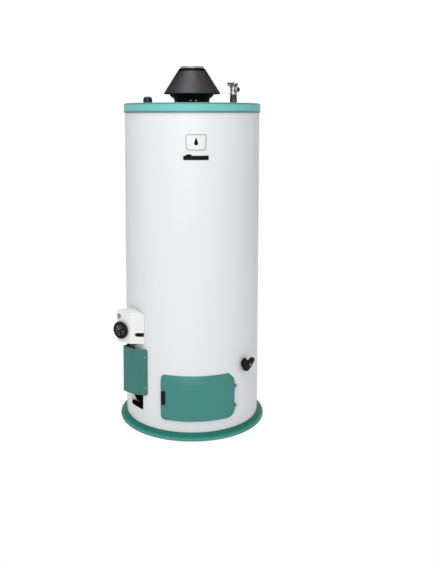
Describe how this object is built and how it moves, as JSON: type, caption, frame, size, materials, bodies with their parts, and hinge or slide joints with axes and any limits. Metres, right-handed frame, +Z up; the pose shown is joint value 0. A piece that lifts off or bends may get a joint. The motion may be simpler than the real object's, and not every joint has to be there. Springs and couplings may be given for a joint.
{
  "type": "tank water heater",
  "caption": "Gas fired tank water heater: white cylindrical jacket, teal lid, green base ring, dark conical draft hood, gas control with dial, burner door, drain cock and relief valve.",
  "frame": {"origin": "on the tank's vertical axis at the floor, in the middle of the base pan's underside", "axes": "+Z up along the tank, -Y to the front (burner door), +X to the viewer's right (drain cock and relief valve)"},
  "size_m": [0.5135, 0.5026, 1.2135],
  "materials": {
    "jacket_enamel": "glossy white enamel",
    "teal_paint": "satin light teal paint",
    "green_paint": "satin green paint",
    "galvanised": "galvanised sheet",
    "foam": "rigid foam",
    "tank_steel": "glass lined steel",
    "dark_steel": "heat resistant dark finish",
    "anode_metal": "matt cast",
    "pipe_steel": "satin",
    "pipe_bronze": "tarnished",
    "white_plastic": "moulded",
    "cap_plastic": "moulded navy black",
    "hood_paint": "satin dark grey",
    "valve_brass": "machined",
    "bonnet_metal": "knurled dark grey",
    "lever_steel": "pressed",
    "cover_enamel": "white moulding",
    "valve_aluminium": "die cast",
    "copper": "drawn copper",
    "black_plastic": "moulded black",
    "grey_plastic": "moulded grey",
    "tube_aluminium": "drawn tube",
    "sight_glass": "clear",
    "badge": "blank plate",
    "label_black": "blank dark bar"
  },
  "bodies": {
    "heater": {"outer_jacket": "jacket_enamel", "top_pan": "teal_paint", "base_ring": "green_paint", "base_pan": "galvanised", "insulation": "foam", "tank_shell": "tank_steel", "tank_top_head": "tank_steel", "tank_bottom_head": "tank_steel", "combustion_chamber": "dark_steel", "flue_tube": "galvanised", "flue_baffle": "galvanised", "anode_rod": "anode_metal", "cold_inlet_nipple": "pipe_steel", "hot_outlet_nipple": "pipe_steel", "relief_nipple": "pipe_bronze", "dip_tube": "white_plastic", "draft_hood_neck": "hood_paint", "draft_hood_cone": "hood_paint", "flue_collar": "hood_paint", "draft_hood_leg_1": "hood_paint", "draft_hood_leg_2": "hood_paint", "draft_hood_leg_3": "hood_paint", "relief_valve_body": "valve_brass", "relief_valve_bonnet": "bonnet_metal", "gas_control_cover": "cover_enamel", "gas_valve_body": "valve_aluminium", "gas_inlet_port": "valve_brass", "thermostat_probe": "copper", "burner_tube_cover": "green_paint", "burner_tube": "tube_aluminium", "pilot_tube": "tube_aluminium", "thermocouple_lead": "copper", "pilot_burner": "lever_steel", "burner_head": "dark_steel", "inner_door": "galvanised", "sight_glass": "sight_glass", "jacket_knuckle_1": "jacket_enamel", "jacket_knuckle_2": "jacket_enamel", "hinge_pin_1": "lever_steel", "hinge_pin_2": "lever_steel", "drain_valve_body": "black_plastic", "badge_plate": "badge", "label_bar": "label_black"},
    "access_door": {"access_door": "green_paint", "door_knuckle_1": "green_paint", "door_knuckle_2": "green_paint"},
    "door_latch": {"door_latch": "black_plastic"},
    "temperature_dial": {"temperature_dial": "black_plastic", "dial_shaft": "lever_steel"},
    "pilot_button": {"pilot_button": "grey_plastic"},
    "drain_handle": {"drain_valve_handle": "black_plastic"},
    "relief_lever": {"relief_valve_lever": "lever_steel"},
    "cold_cap": {"cold_inlet_cap": "cap_plastic"},
    "hot_cap": {"hot_outlet_cap": "cap_plastic"}
  },
  "joints": [
    {"name": "access_door_swing", "type": "hinge", "parent": "heater", "child": "access_door", "pos_m": [0.14314, -0.18587, 0.125], "axis": [0, 0, 1], "range_deg": [0, 105]},
    {"name": "door_latch_slide", "type": "slide", "parent": "access_door", "child": "door_latch", "axis": [0, 0, 1], "range_m": [0, 0.008]},
    {"name": "temperature_dial_turn", "type": "hinge", "parent": "heater", "child": "temperature_dial", "pos_m": [-0.23321, -0.14825, 0.34], "axis": [-0.5736, -0.8192, 0], "range_deg": [-90, 180]},
    {"name": "pilot_button_press", "type": "slide", "parent": "heater", "child": "pilot_button", "axis": [0.5736, 0.8192, 0], "range_m": [0, 0.004], "stiffness_N_per_m": 200, "springref_m": -0.002},
    {"name": "drain_handle_turn", "type": "hinge", "parent": "heater", "child": "drain_handle", "pos_m": [0.18467, -0.16628, 0.23], "axis": [0.7431, -0.6691, 0], "range_deg": [0, 270]},
    {"name": "relief_lever_lift", "type": "hinge", "parent": "heater", "child": "relief_lever", "pos_m": [0.1415, 0, 1.1582], "axis": [0, 1, 0], "range_deg": [0, 75]},
    {"name": "cold_cap_pull", "type": "slide", "parent": "heater", "child": "cold_cap", "axis": [0, 0, 1], "range_m": [0, 0.035]},
    {"name": "hot_cap_pull", "type": "slide", "parent": "heater", "child": "hot_cap", "axis": [0, 0, 1], "range_m": [0, 0.035]}
  ]
}
